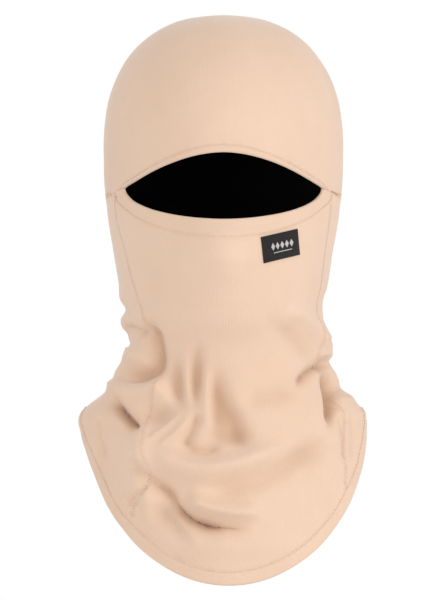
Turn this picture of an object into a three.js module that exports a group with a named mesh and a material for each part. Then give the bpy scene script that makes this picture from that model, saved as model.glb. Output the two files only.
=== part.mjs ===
// A balaclava: a close hood, a face mask that can be pulled down, and a bib that
// covers the neck, in brushed stretch fleece with a black lining.
// Millimetres, +Z up. The origin is where the crown of the head rests inside the
// hood, the wearer looks along -Y and the wearer's left side is at +X.
import * as THREE from 'three';

// Driving dimensions of the outer surface
const CROWN_TOP = 3;
const EQUATOR_Z = -89;
const HOOD_HALF_WIDTH = 81.3;
const FOREHEAD_DEPTH = 97;
const OCCIPUT_DEPTH = 98;
const CROWN_SQUARENESS = 2.35;
const SHOULDER_HALF_WIDTH = 98.6;

// Eye opening, as seen from the front
const CORNER_X = 68;
const CORNER_Z = -115;
const BROW_RISE = 24;
const BROW_POWER = 1.85;
const MASK_DROP = 20.5;
const BROW_HEM_WIDTH = 6;
const BROW_HEM_END_WIDTH = 4;
const MASK_HEM_WIDTH = 13;
const MASK_HEM_END_WIDTH = 6;

// Bottom edge of the bib
const HEM_SIDE_Z = -274;
const HEM_FRONT_DROP = 110;
const HEM_BACK_DROP = 72;
const HEM_PEAK_ROUNDING = 0.09;
const BOTTOM_HEM_WIDTH = 10;

// Fabric layers, as depths from the outer surface, outward positive
const GAP = 0.3;
const HEM_GAP = 1.2;
const SHELL_LAYER = { outer: 0, inner: -1.3 };
const LINING_LAYER = { outer: -2.4, inner: -3 };
const HEM_LAYER = { outer: 0.6, inner: -2.6 };
const SEAM_LAYER = { outer: 1.4, inner: 0.8 };
const HEM_STITCH_LAYER = { outer: 1.9, inner: 1.4 };
const LABEL_LAYER = { outer: 1.5, inner: 0.8 };
const CARE_LABEL_LAYER = { outer: -3.4, inner: -3.8 };

const FLATLOCK_WIDTH = 5;
const COVERSTITCH_WIDTH = 3;
const DEG = Math.PI / 180;

// Columns and rows of each sheet's mesh
const GAITER_ROWS = 22;
const GRID = {
  hoodFront: [22, 14],
  hoodBack: [10, 12],
  gaiterFront: [22, GAITER_ROWS],
  gaiterBack: [13, GAITER_ROWS],
  faceLining: [20, 9],
  neckLining: [13, 8],
  browHem: [24, 1],
  maskHem: [26, 2],
  openingStitch: [24, 1],
  bottomHem: [30, 1],
  crownSeam: [28, 1],
  hoodBackSeam: [12, 1],
  gaiterBackSeam: [14, 1],
  templeSeam: [16, 1],
  cheekSeam: [GAITER_ROWS - 2, 1],
  barTack: [3, 1],
  label: [6, 3],
  careLabel: [5, 4],
};

// Smooth curve through [height, value] knots, listed from the top down.
function profile(knots) {
  const slope = (i) => {
    const a = knots[Math.max(i - 1, 0)];
    const b = knots[Math.min(i + 1, knots.length - 1)];
    return (b[1] - a[1]) / (b[0] - a[0]);
  };
  return (z) => {
    const clamped = THREE.MathUtils.clamp(z, knots[knots.length - 1][0], knots[0][0]);
    let i = 0;
    while (i < knots.length - 2 && clamped < knots[i + 1][0]) i += 1;
    const [z0, value0] = knots[i];
    const [z1, value1] = knots[i + 1];
    const span = z1 - z0;
    const s = (clamped - z0) / span;
    const startWeight = 2 * s ** 3 - 3 * s ** 2 + 1;
    const startSlopeWeight = s ** 3 - 2 * s ** 2 + s;
    const endSlopeWeight = s ** 3 - s ** 2;
    return startWeight * value0 + (1 - startWeight) * value1
      + span * (startSlopeWeight * slope(i) + endSlopeWeight * slope(i + 1));
  };
}

// Half-width, front depth and back depth below the head's widest level
const halfWidth = profile([
  [EQUATOR_Z, HOOD_HALF_WIDTH], [-115, 80.3], [-137, 77.4], [-157, 74.1], [-178, 70.6],
  [-194, 67.4], [-218, 68.3], [-236, 73], [-248, 78.8], [-256, 85.5], [-264, 92.5],
  [-274, SHOULDER_HALF_WIDTH], [-400, SHOULDER_HALF_WIDTH],
]);
const frontDepth = profile([
  [EQUATOR_Z, FOREHEAD_DEPTH], [-115, 97], [-137, 98], [-157, 100], [-178, 99],
  [-194, 97], [-206, 92], [-220, 83], [-238, 77], [-252, 77], [-270, 81], [-300, 87],
  [-340, 93], [-400, 97],
]);
const backDepth = profile([
  [EQUATOR_Z, OCCIPUT_DEPTH], [-115, 95], [-140, 89], [-165, 79], [-190, 69], [-215, 62],
  [-238, 61], [-252, 64], [-270, 73], [-300, 83], [-350, 90], [-400, 91],
]);
const noseHeight = profile([
  [EQUATOR_Z, 0], [-115, 0], [-137, 5], [-152, 11], [-162, 12], [-172, 8], [-186, 2], [-196, 0],
]);
const NOSE_HALF_WIDTH = 26;

// Plain form without the nose, at an angle from straight ahead and a height.
// Pieces are laid out on this form, and skin() then carries them to the surface.
function ringPoint(angle, z) {
  const ahead = Math.cos(angle);
  const depth = ahead > 0 ? frontDepth(z) : backDepth(z);
  return new THREE.Vector3(halfWidth(z) * Math.sin(angle), -depth * ahead, z);
}

function capPoint(direction) {
  const depth = direction.y < 0 ? FOREHEAD_DEPTH : OCCIPUT_DEPTH;
  const level = Math.hypot(direction.x / HOOD_HALF_WIDTH, direction.y / depth);
  const rise = direction.z / (CROWN_TOP - EQUATOR_Z);
  const reach = (level ** CROWN_SQUARENESS + rise ** CROWN_SQUARENESS) ** (1 / CROWN_SQUARENESS);
  return new THREE.Vector3(direction.x / reach, direction.y / reach, EQUATOR_Z + direction.z / reach);
}

// Surface point that a layout point stands for, above or below the widest level.
function skin(point) {
  if (point.z > EQUATOR_Z) {
    return capPoint(new THREE.Vector3(point.x, point.y, point.z - EQUATOR_Z));
  }
  const depth = point.y < 0 ? frontDepth(point.z) : backDepth(point.z);
  const angle = Math.atan2(point.x / halfWidth(point.z), -point.y / depth);
  const onRing = ringPoint(angle, point.z);
  if (onRing.y < 0) onRing.y -= noseHeight(point.z) * Math.exp(-((onRing.x / NOSE_HALF_WIDTH) ** 2));
  return onRing;
}

const NEAR_CROWN = 0.9;
const NORMAL_STEP = 0.5;

function tangents(point) {
  const ray = new THREE.Vector3(point.x, point.y, Math.max(point.z - EQUATOR_Z, 0)).normalize();
  const isNearCrown = Math.abs(ray.z) > NEAR_CROWN;
  const upright = isNearCrown ? new THREE.Vector3(0, 1, 0) : new THREE.Vector3(0, 0, 1);
  const across = new THREE.Vector3().crossVectors(upright, ray).normalize();
  const upward = new THREE.Vector3().crossVectors(ray, across);
  return { across, upward };
}

function surfaceNormal(point) {
  const { across, upward } = tangents(point);
  const difference = (direction) => {
    const ahead = skin(point.clone().addScaledVector(direction, NORMAL_STEP));
    const behind = skin(point.clone().addScaledVector(direction, -NORMAL_STEP));
    return ahead.sub(behind);
  };
  return difference(across).cross(difference(upward)).normalize();
}

// Layout point seen from the front at x and height z.
function facing(x, z) {
  if (z > EQUATOR_Z) {
    const rise = (z - EQUATOR_Z) / (CROWN_TOP - EQUATOR_Z);
    const level = (1 - rise ** CROWN_SQUARENESS) ** (1 / CROWN_SQUARENESS);
    const ahead = Math.sqrt(level ** 2 - (x / HOOD_HALF_WIDTH) ** 2);
    return new THREE.Vector3(x, -FOREHEAD_DEPTH * ahead, z);
  }
  return ringPoint(Math.asin(x / halfWidth(z)), z);
}

// Four-sided patch between edge curves, each a function from 0..1 to a layout point.
function coons({ bottom, top, left, right }) {
  const corner = { bl: bottom(0), br: bottom(1), tl: top(0), tr: top(1) };
  return (u, v) => {
    const point = bottom(u).multiplyScalar(1 - v);
    point.addScaledVector(top(u), v);
    point.addScaledVector(left(v), 1 - u);
    point.addScaledVector(right(v), u);
    point.addScaledVector(corner.bl, -(1 - u) * (1 - v));
    point.addScaledVector(corner.br, -u * (1 - v));
    point.addScaledVector(corner.tl, -(1 - u) * v);
    point.addScaledVector(corner.tr, -u * v);
    return point;
  };
}

// Closed sheet of fabric: place(u, v) gives layout points, u to the wearer's left
// as seen from outside going anticlockwise from above, v upward.
function sheetGeometry(place, [columns, rows], layer) {
  const geometry = new THREE.BoxGeometry(1, 1, 1, columns, rows, 1);
  const position = geometry.attributes.position;
  for (let i = 0; i < position.count; i += 1) {
    const layoutPoint = place(position.getX(i) + 0.5, position.getY(i) + 0.5);
    const depth = THREE.MathUtils.lerp(layer.inner, layer.outer, position.getZ(i) + 0.5);
    const point = skin(layoutPoint).addScaledVector(surfaceNormal(layoutPoint), depth);
    position.setXYZ(i, point.x, point.y, point.z);
  }
  geometry.computeVertexNormals();
  return geometry;
}

const PATH_STEP = 0.002;

// Ribbon of fabric or thread centred on a path of layout points.
function ribbonPlace(path, width) {
  return (u, v) => {
    const here = path(u);
    const ahead = path(Math.min(u + PATH_STEP, 1));
    const along = ahead.sub(path(Math.max(u - PATH_STEP, 0))).normalize();
    const aside = new THREE.Vector3().crossVectors(surfaceNormal(here), along).normalize();
    return here.addScaledVector(aside, (v - 0.5) * width);
  };
}

// Part of a path, from one fraction of it to another.
function stretch(path, from, to) {
  return (s) => path(THREE.MathUtils.lerp(from, to, s));
}

const chart = (angle, z) => ringPoint(angle * DEG, z);

// Seam lines
const EAR_ANGLE = 100;
const EAR_TUCK = 0.985;
const TEMPLE_SEAM_EAR_Z = -120;
const TEMPLE_SEAM_NAPE_Z = -127;
const CROWN_SEAM_Y = 17;
const CROWN_SEAM_HALF_WIDTH = 80;
const CROWN_SEAM_ARC_ANGLES = [22, 45, 68];
const CROWN_SEAM_DIVISIONS = 400;
const MASK_END_ANGLE = 67.4;
const CENTRE_BACK = [[90, TEMPLE_SEAM_NAPE_Z + GAP], [98, EQUATOR_Z], [78, -30], [46, -5]];

// Height of the seam between hood and gaiter, round the back from either corner.
const templeSeamZ = profile([
  [0, TEMPLE_SEAM_NAPE_Z], [-80, TEMPLE_SEAM_EAR_Z], [-104, CORNER_Z - 1], [-111, CORNER_Z],
  [-122, CORNER_Z],
]);
const templeSeam = (angle) => templeSeamZ(Math.abs(angle) - 180);

function crownSeamPath(shift) {
  const y = CROWN_SEAM_Y + shift;
  const earX = halfWidth(TEMPLE_SEAM_EAR_Z) * EAR_TUCK;
  const reach = CROWN_SEAM_HALF_WIDTH;
  const rise = CROWN_TOP - EQUATOR_Z;
  const half = [[earX, TEMPLE_SEAM_EAR_Z + GAP], [reach, EQUATOR_Z]];
  for (const arcAngle of CROWN_SEAM_ARC_ANGLES) {
    half.push([reach * Math.cos(arcAngle * DEG), EQUATOR_Z + rise * Math.sin(arcAngle * DEG)]);
  }
  const rightSide = half.map(([x, z]) => new THREE.Vector3(-x, y, z));
  const leftSide = half.map(([x, z]) => new THREE.Vector3(x, y, z)).reverse();
  const top = new THREE.Vector3(0, y, CROWN_TOP);
  const curve = new THREE.CatmullRomCurve3([...rightSide, top, ...leftSide]);
  curve.arcLengthDivisions = CROWN_SEAM_DIVISIONS;
  return (s) => curve.getPointAt(s);
}
// Share of the crown seam, at each end, that forms the ear edge of a back quarter.
const EAR_FRACTION = 0.1;

function centreBackPath(shift) {
  const knots = [...CENTRE_BACK, [CROWN_SEAM_Y + GAP, CROWN_TOP]];
  const curve = new THREE.CatmullRomCurve3(knots.map(([y, z]) => new THREE.Vector3(shift, y, z)));
  return (s) => curve.getPointAt(s);
}

// Cheek seams: [height, angle from straight ahead], corner to bottom hem.
const rightCheekAngle = profile([
  [CORNER_Z, 67.4], [-132, 69], [-157, 63], [-180, 58], [-205, 49.6], [-225, 40.8], [-245, 35.6],
  [-285, 34], [-330, 38], [-352, 44],
]);
const leftCheekAngle = profile([
  [CORNER_Z, 67.4], [-145, 68], [-185, 69], [-225, 66], [-260, 60], [-300, 56], [-330, 54],
]);
const RIGHT_CHEEK_BOTTOM = 43;
const LEFT_CHEEK_BOTTOM = 54;
const SLOPE_STEP = 1;

function softCosine(angle) {
  const soften = (value) => Math.hypot(value, HEM_PEAK_ROUNDING) - HEM_PEAK_ROUNDING;
  return soften(Math.cos(angle * DEG)) / soften(1);
}

// Height of the bib's bottom edge, and of a line inside it at a distance from it.
function bottomEdgeZ(angle) {
  const drop = Math.abs(angle) < 90 ? HEM_FRONT_DROP : HEM_BACK_DROP;
  return HEM_SIDE_Z - drop * softCosine(angle);
}

function insideBottomEdge(angle, distance) {
  const edge = (a) => chart(a, bottomEdgeZ(a));
  const run = edge(angle + SLOPE_STEP).sub(edge(angle - SLOPE_STEP));
  const slope = Math.abs(run.z) / Math.hypot(run.x, run.y);
  return bottomEdgeZ(angle) + distance * Math.hypot(1, slope);
}

// Lower and upper edges of the eye opening, and lines outside them.
function maskLine(s, outward) {
  const turn = Math.PI * s;
  const reach = outward / MASK_HEM_WIDTH;
  const halfSpan = CORNER_X + MASK_HEM_END_WIDTH * reach;
  const drop = MASK_DROP + outward;
  return facing(-halfSpan * Math.cos(turn), CORNER_Z - GAP - drop * Math.sin(turn));
}

function browLine(s, outward) {
  const reach = outward / BROW_HEM_WIDTH;
  const halfSpan = CORNER_X + BROW_HEM_END_WIDTH * reach;
  const x = halfSpan * (2 * s - 1);
  const rise = (BROW_RISE + outward) * (1 - Math.abs(x / halfSpan) ** BROW_POWER);
  return facing(x, CORNER_Z + GAP + rise);
}

function between(inner, outer) {
  return (u, v) => inner(u).lerp(outer(u), v);
}

// Powers that leave an edge line alone until its last stretch, and then draw it to
// the corner that it shares with the next edge.
const CORNER_PULL = 8;
const CROWN_PULL = 6;
const SIDE_PULL = 4;
const endPull = (s) => Math.abs(2 * s - 1) ** CORNER_PULL;

function chartOf(point) {
  const depth = point.y < 0 ? frontDepth(point.z) : backDepth(point.z);
  return [Math.atan2(point.x / halfWidth(point.z), -point.y / depth) / DEG, point.z];
}

// Layout of each panel; the inset moves all edges inwards, for a lining.
function hoodFrontPlace(inset) {
  const brow = (s) => browLine(s, BROW_HEM_WIDTH + GAP + inset);
  const crown = crownSeamPath(-GAP / 2 - inset);
  const end = { left: brow(0), right: brow(1) };
  const side = (sign, start) => (s) => {
    const startAngle = Math.abs(chartOf(start)[0]);
    const crownEnd = crown(sign < 0 ? 0 : 1);
    const angle = THREE.MathUtils.lerp(startAngle, EAR_ANGLE, s);
    const point = chart(sign * angle, templeSeam(angle) + GAP + inset);
    return s === 0 ? start.clone() : point.lerp(crownEnd, s ** SIDE_PULL);
  };
  return coons({ bottom: brow, top: crown, left: side(-1, end.left), right: side(1, end.right) });
}

function hoodBackPlace(sign, inset) {
  const crown = crownSeamPath(GAP / 2 + inset);
  const centre = centreBackPath(sign * (GAP / 2 + inset));
  const start = sign < 0 ? 0 : 1;
  const earTop = sign < 0 ? EAR_FRACTION : 1 - EAR_FRACTION;
  const fromEar = stretch(crown, earTop, 1 / 2);
  const earEdge = stretch(crown, start, earTop);
  const crownEnd = centre(1);
  const top = (s) => fromEar(s).lerp(crownEnd, s ** CROWN_PULL);
  const nape = centre(0);
  const ear = earEdge(0);
  const bottom = (s) => {
    const angle = THREE.MathUtils.lerp(EAR_ANGLE, 180, s);
    const point = chart(sign * angle, templeSeam(angle) + GAP + inset);
    return point.lerp(s < 1 / 2 ? ear : nape, endPull(s));
  };
  if (sign < 0) {
    const reversed = { bottom: (s) => bottom(1 - s), top: (s) => top(1 - s) };
    return coons({ ...reversed, left: centre, right: earEdge });
  }
  return coons({ bottom, top, left: earEdge, right: centre });
}

// Patches on the gaiter are laid out on its chart of angle and height.
function chartPatch(edges) {
  const flat = {};
  for (const [side, edge] of Object.entries(edges)) {
    flat[side] = (s) => new THREE.Vector3(...edge(s), 0);
  }
  const patch = coons(flat);
  return (u, v) => {
    const point = patch(u, v);
    return chart(point.x, point.y);
  };
}

const NECK_RADIUS = 75;
const degreesRound = (length) => length / NECK_RADIUS / DEG;
const SEAM_GAP_ANGLE = degreesRound(GAP);

// Lower end of a gaiter panel: the line inside the bottom hem, or a lining's level end.
const LINING_BOTTOM_Z = -222;
const TO_THE_HEM = -400;

function panelBottom(inset, levelEnd) {
  const distance = BOTTOM_HEM_WIDTH + HEM_GAP + inset;
  return (angle) => Math.max(insideBottomEdge(angle, distance), levelEnd);
}

function gaiterFrontPlace(inset, levelEnd) {
  const insetAngle = SEAM_GAP_ANGLE + degreesRound(inset);
  const isLevel = levelEnd !== TO_THE_HEM;
  const top = (s) => chartOf(maskLine(s, MASK_HEM_WIDTH + GAP + inset));
  const bottomZ = panelBottom(inset, levelEnd);
  const rightAngle = (z) => -(rightCheekAngle(z) - insetAngle);
  const leftAngle = (z) => leftCheekAngle(z) - insetAngle;
  const bottomRight = isLevel ? rightAngle(levelEnd) : -RIGHT_CHEEK_BOTTOM + insetAngle;
  const bottomLeft = isLevel ? leftAngle(levelEnd) : LEFT_CHEEK_BOTTOM - insetAngle;
  const edge = (angleAt, bottomAngle, topEnd) => (s) => {
    const z = THREE.MathUtils.lerp(bottomZ(bottomAngle), topEnd[1], s);
    const angle = angleAt(z);
    const pull = s < 1 / 2 ? bottomAngle - angle : topEnd[0] - angle;
    return [angle + pull * endPull(s), z];
  };
  const bottom = (s) => {
    const angle = THREE.MathUtils.lerp(bottomRight, bottomLeft, s);
    return [angle, bottomZ(angle)];
  };
  const left = edge(rightAngle, bottomRight, top(0));
  const right = edge(leftAngle, bottomLeft, top(1));
  return chartPatch({ bottom, top, left, right });
}

function gaiterBackPlace(sign, inset, levelEnd) {
  const insetAngle = SEAM_GAP_ANGLE + degreesRound(inset);
  const cheek = sign < 0 ? rightCheekAngle : leftCheekAngle;
  const cheekBottom = sign < 0 ? RIGHT_CHEEK_BOTTOM : LEFT_CHEEK_BOTTOM;
  const bottomZ = panelBottom(inset, levelEnd);
  const topZ = (angle) => templeSeam(angle) - GAP - inset;
  const startTop = MASK_END_ANGLE + SEAM_GAP_ANGLE + insetAngle;
  const startBottom = (levelEnd === TO_THE_HEM ? cheekBottom : cheek(levelEnd)) + insetAngle;
  const end = 180 - insetAngle;
  const cheekEdge = (s) => {
    const z = THREE.MathUtils.lerp(bottomZ(startBottom), topZ(startTop), s);
    const angle = cheek(z) + insetAngle;
    const pull = s < 1 / 2 ? startBottom - angle : startTop - angle;
    return [sign * (angle + pull * endPull(s)), z];
  };
  const centreEdge = (s) => [sign * end, THREE.MathUtils.lerp(bottomZ(end), topZ(end), s)];
  const along = (start, height) => (s) => {
    const angle = THREE.MathUtils.lerp(start, end, s);
    return [sign * angle, height(angle)];
  };
  const bottom = along(startBottom, bottomZ);
  const top = along(startTop, topZ);
  if (sign < 0) {
    const reversed = { bottom: (s) => bottom(1 - s), top: (s) => top(1 - s) };
    return chartPatch({ ...reversed, left: centreEdge, right: cheekEdge });
  }
  return chartPatch({ bottom, top, left: cheekEdge, right: centreEdge });
}

const material = (color, roughness) => new THREE.MeshStandardMaterial({ color, roughness, metalness: 0 });
const MATERIALS = {
  fleece: material(0xe9cdb2, 0.95),
  lining: material(0x0c0c0d, 0.9),
  thread: material(0xe2c3a4, 0.8),
  tackThread: material(0x4a3428, 0.8),
  label: material(0x141416, 0.75),
  careLabel: material(0xece8e0, 0.7),
};

const balaclava = new THREE.Group();

function addSheet(name, place, grid, layer, finish) {
  const mesh = new THREE.Mesh(sheetGeometry(place, grid, layer), finish);
  mesh.name = name;
  balaclava.add(mesh);
}

function addShell(name, place, grid) {
  addSheet(name, place, grid, SHELL_LAYER, MATERIALS.fleece);
}

function addLining(name, place, grid) {
  addSheet(name, place, grid, LINING_LAYER, MATERIALS.lining);
}

const SIDES = [{ sign: -1, name: 'right' }, { sign: 1, name: 'left' }];
const LINING_INSET = 1;

function addHood() {
  addShell('hood_front_panel', hoodFrontPlace(0), GRID.hoodFront);
  addLining('hood_front_lining', hoodFrontPlace(LINING_INSET), GRID.hoodFront);
  for (const { sign, name } of SIDES) {
    addShell(`hood_back_${name}_panel`, hoodBackPlace(sign, 0), GRID.hoodBack);
    addLining(`hood_back_${name}_lining`, hoodBackPlace(sign, LINING_INSET), GRID.hoodBack);
  }
}

function addGaiter() {
  addShell('gaiter_front_panel', gaiterFrontPlace(0, TO_THE_HEM), GRID.gaiterFront);
  addLining('face_lining', gaiterFrontPlace(LINING_INSET, LINING_BOTTOM_Z), GRID.faceLining);
  for (const { sign, name } of SIDES) {
    const neckLining = gaiterBackPlace(sign, LINING_INSET, LINING_BOTTOM_Z);
    addShell(`gaiter_back_${name}_panel`, gaiterBackPlace(sign, 0, TO_THE_HEM), GRID.gaiterBack);
    addLining(`neck_${name}_lining`, neckLining, GRID.neckLining);
  }
}

const addHem = (name, place, grid) => addSheet(name, place, grid, HEM_LAYER, MATERIALS.fleece);

// Coverstitch along a path, left off at both ends by a share of its length.
function addHemStitch(name, path, endShare, grid) {
  const place = ribbonPlace(stretch(path, endShare, 1 - endShare), COVERSTITCH_WIDTH);
  addSheet(name, place, grid, HEM_STITCH_LAYER, MATERIALS.thread);
}

// Middle of each hem's stitching, inwards from the raw edge that it covers
const BROW_STITCH_INSET = 1.8;
const MASK_STITCH_INSET = 2.2;
const BOTTOM_STITCH_INSET = 2;
const BROW_STITCH_END = 0.03;
const MASK_STITCH_END = 0.07;

function addOpeningHems() {
  const browHem = between((s) => browLine(s, 0), (s) => browLine(s, BROW_HEM_WIDTH));
  addHem('brow_hem', browHem, GRID.browHem);
  const browStitch = (s) => browLine(s, BROW_HEM_WIDTH - BROW_STITCH_INSET);
  addHemStitch('brow_hem_stitching', browStitch, BROW_STITCH_END, GRID.openingStitch);
  const maskHem = between((s) => maskLine(s, MASK_HEM_WIDTH), (s) => maskLine(s, 0));
  addHem('mask_hem', maskHem, GRID.maskHem);
  const maskStitch = (s) => maskLine(s, MASK_HEM_WIDTH - MASK_STITCH_INSET);
  addHemStitch('mask_hem_stitching', maskStitch, MASK_STITCH_END, GRID.openingStitch);
}

function addBottomHem() {
  const halves = [{ name: 'front', start: -90, end: 90 }, { name: 'back', start: 90, end: 270 }];
  for (const { name, start, end } of halves) {
    const wrap = (angle) => (angle > 180 ? angle - 360 : angle);
    const line = (u, distance) => {
      const angle = THREE.MathUtils.lerp(start + SEAM_GAP_ANGLE, end - SEAM_GAP_ANGLE, u);
      return chart(angle, insideBottomEdge(wrap(angle), distance));
    };
    const band = between((u) => line(u, 0), (u) => line(u, BOTTOM_HEM_WIDTH));
    const stitch = (u) => line(u, BOTTOM_HEM_WIDTH - BOTTOM_STITCH_INSET);
    addHem(`bottom_hem_${name}`, band, GRID.bottomHem);
    addHemStitch(`bottom_hem_stitching_${name}`, stitch, 0, GRID.bottomHem);
  }
}

// Where each seam's thread starts and ends, clear of the threads that it meets
const SEAM_CLEARANCE = 4;
const CROWN_SEAM_SPAN = [0.02, 0.98];
const CENTRE_BACK_SPAN = [0.04, 0.94];
const TEMPLE_SEAM_SPAN = [73.5, 179.5];
const TACK_START_ANGLE = 68.5;
const TACK_LENGTH = 4;
const TACK_WIDTH = 2.4;

function addSeam(name, path, grid) {
  addSheet(name, ribbonPlace(path, FLATLOCK_WIDTH), grid, SEAM_LAYER, MATERIALS.thread);
}

// Stretch of the seam between hood and gaiter, always run the same way round the head.
function templePath(sign, startAngle, endAngle) {
  const path = (s) => {
    const angle = THREE.MathUtils.lerp(startAngle, endAngle, s);
    return chart(sign * angle, templeSeam(angle));
  };
  return sign < 0 ? stretch(path, 1, 0) : path;
}

function addSeams() {
  addSeam('crown_seam', stretch(crownSeamPath(0), ...CROWN_SEAM_SPAN), GRID.crownSeam);
  addSeam('hood_centre_back_seam', stretch(centreBackPath(0), ...CENTRE_BACK_SPAN), GRID.hoodBackSeam);
  const lowestAtBack = insideBottomEdge(180, BOTTOM_HEM_WIDTH + HEM_GAP);
  const highestAtBack = TEMPLE_SEAM_NAPE_Z - SEAM_CLEARANCE;
  const centreBack = (s) => chart(180, THREE.MathUtils.lerp(lowestAtBack, highestAtBack, s));
  addSeam('gaiter_centre_back_seam', centreBack, GRID.gaiterBackSeam);
  for (const { sign, name } of SIDES) {
    addSeam(`temple_seam_${name}`, templePath(sign, ...TEMPLE_SEAM_SPAN), GRID.templeSeam);
    const cheek = sign < 0 ? rightCheekAngle : leftCheekAngle;
    const cheekBottom = sign < 0 ? RIGHT_CHEEK_BOTTOM : LEFT_CHEEK_BOTTOM;
    const lowest = insideBottomEdge(cheekBottom, BOTTOM_HEM_WIDTH + HEM_GAP);
    const wholeSeam = (s) => {
      const z = THREE.MathUtils.lerp(lowest, CORNER_Z - GAP, s);
      return chart(sign * cheek(z), z);
    };
    const row = 1 / GAITER_ROWS;
    addSeam(`cheek_seam_${name}`, stretch(wholeSeam, row, 1 - row), GRID.cheekSeam);
  }
}

function addBarTacks() {
  const endAngle = TACK_START_ANGLE + degreesRound(TACK_LENGTH);
  for (const { sign, name } of SIDES) {
    const place = ribbonPlace(templePath(sign, TACK_START_ANGLE, endAngle), TACK_WIDTH);
    addSheet(`bar_tack_${name}`, place, GRID.barTack, SEAM_LAYER, MATERIALS.tackThread);
  }
}

// The lean allows for the cheek turning away from the front under the label.
const LABEL = { x: 38.2, z: -154.2, width: 26, height: 17, tilt: 13, lean: 0.93 };
const CARE_LABEL = { z: -187, width: 28, height: 38 };

function addLabels() {
  const tilt = LABEL.tilt * DEG;
  const label = (u, v) => {
    const along = (u - 0.5) * LABEL.width;
    const up = (v - 0.5) * LABEL.height;
    const x = LABEL.x + along * Math.cos(tilt) * LABEL.lean - up * Math.sin(tilt);
    return facing(x, LABEL.z + along * Math.sin(tilt) + up * Math.cos(tilt));
  };
  addSheet('woven_label', label, GRID.label, LABEL_LAYER, MATERIALS.label);
  const careLabel = (u, v) => {
    const z = CARE_LABEL.z + (v - 0.5) * CARE_LABEL.height;
    return chart(180 + (u - 0.5) * degreesRound(CARE_LABEL.width), z);
  };
  addSheet('care_label', careLabel, GRID.careLabel, CARE_LABEL_LAYER, MATERIALS.careLabel);
}

addHood();
addGaiter();
addOpeningHems();
addBottomHem();
addSeams();
addBarTacks();
addLabels();

export default balaclava;
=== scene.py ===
import math

import bpy
import numpy as np
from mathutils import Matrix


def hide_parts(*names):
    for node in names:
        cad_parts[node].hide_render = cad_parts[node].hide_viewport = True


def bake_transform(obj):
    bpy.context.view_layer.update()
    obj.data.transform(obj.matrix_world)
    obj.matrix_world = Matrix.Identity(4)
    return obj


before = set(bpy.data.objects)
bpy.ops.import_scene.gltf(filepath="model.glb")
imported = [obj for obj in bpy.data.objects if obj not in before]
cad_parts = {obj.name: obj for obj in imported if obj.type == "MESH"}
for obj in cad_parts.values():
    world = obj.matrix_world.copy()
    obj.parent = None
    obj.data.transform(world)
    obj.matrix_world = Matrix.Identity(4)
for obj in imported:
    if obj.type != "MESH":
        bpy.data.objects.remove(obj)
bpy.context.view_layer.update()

# Balaclava: the looks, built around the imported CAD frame.
#
# The garment is one smooth surface with its folds sculpted on it. Layout points lie on a
# plainer form of the head and bib; every panel, hem, seam and stitch is laid out in them and
# carried to the surface.
#
# Lengths are in millimetres, and are scaled to metres where a mesh, a bend or the camera is
# made. Lights, floor, flat sizes of sheets and sizes inside materials are in metres.

MM = 0.001

# ---- dimensions

# Angles are in degrees from straight ahead.
CROWN_TOP = 3.9
EQUATOR_Z = -89.0
HOOD_HALF_WIDTH = 82.0
FOREHEAD_DEPTH = 97.0
OCCIPUT_DEPTH = 98.0
CROWN_SQUARENESS = 2.35
SHOULDER_HALF_WIDTH = 98.3

CORNER_X = 68.0
CORNER_Z = -115.0
BROW_RISE = 24.0
BROW_POWER = 1.85
MASK_DROP = 20.5
BROW_HEM_WIDTH = 6.0
BROW_HEM_END_WIDTH = 4.0
MASK_HEM_WIDTH = 13.0
MASK_HEM_END_WIDTH = 6.0

HEM_SIDE_Z = -274.0
HEM_FRONT_DROP = 110.0
HEM_BACK_DROP = 72.0
HEM_PEAK_ROUNDING = 0.07
BOTTOM_HEM_WIDTH = 10.0

SHELL_THICKNESS = 1.3
LINING_OUTER = -2.4
LINING_INNER = -3.0
LINING_LAP = 1.5
LINING_TUCK = 0.8
HEM_THICKNESS = 2.7
EAR_ANGLE = 100.0
CROWN_SEAM_Y = 17.0
MASK_END_ANGLE = 65.7
LINING_BOTTOM_Z = -222.0


# ---- curves

def profile(*knots):
    """Smooth function through (position, value) knots, for arrays of positions."""
    ordered = sorted(knots)
    at = np.array([k[0] for k in ordered], float)
    value = np.array([k[1] for k in ordered], float)
    slope = np.gradient(value, at)

    def evaluate(position):
        x = np.clip(np.asarray(position, float), at[0], at[-1])
        i = np.clip(np.searchsorted(at, x) - 1, 0, len(at) - 2)
        span = at[i + 1] - at[i]
        s = (x - at[i]) / span
        start = 2 * s**3 - 3 * s**2 + 1
        tangent = (s**3 - 2 * s**2 + s) * slope[i] + (s**3 - s**2) * slope[i + 1]
        return start * value[i] + (1 - start) * value[i + 1] + span * tangent

    return evaluate


def smoothstep(low, high, value):
    s = np.clip((np.asarray(value, float) - low) / (high - low), 0, 1)
    return s * s * (3 - 2 * s)


# Steps between two given points, on a path and on the line of a fold.
PATH_STEPS = 24
FOLD_STEPS = 16


def catmull(points, per_span):
    """Dense smooth polyline through a few given points."""
    p = np.array(points, float)
    p = np.vstack([2 * p[0] - p[1], p, 2 * p[-1] - p[-2]])
    s = np.linspace(0, 1, per_span, endpoint=False)[:, None]
    spans = []
    for a, b, c, d in zip(p[:-3], p[1:-2], p[2:-1], p[3:]):
        spans.append(0.5 * (2 * b + (c - a) * s + (2 * a - 5 * b + 4 * c - d) * s**2
                            + (3 * b - a - 3 * c + d) * s**3))
    return np.vstack([*spans, p[-2:-1]])


def even_path(points):
    """Function from 0..1 to points an even way along a smooth line."""
    line = catmull(points, PATH_STEPS)
    length = np.concatenate([[0], np.cumsum(np.linalg.norm(np.diff(line, axis=0), axis=1))])

    def evaluate(s):
        at = np.asarray(s, float) * length[-1]
        return np.stack([np.interp(at, length, line[:, k]) for k in range(line.shape[1])], -1)

    return evaluate


def lerp(a, b, s):
    return a + (b - a) * np.asarray(s, float)


TINY = 1e-9


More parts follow.
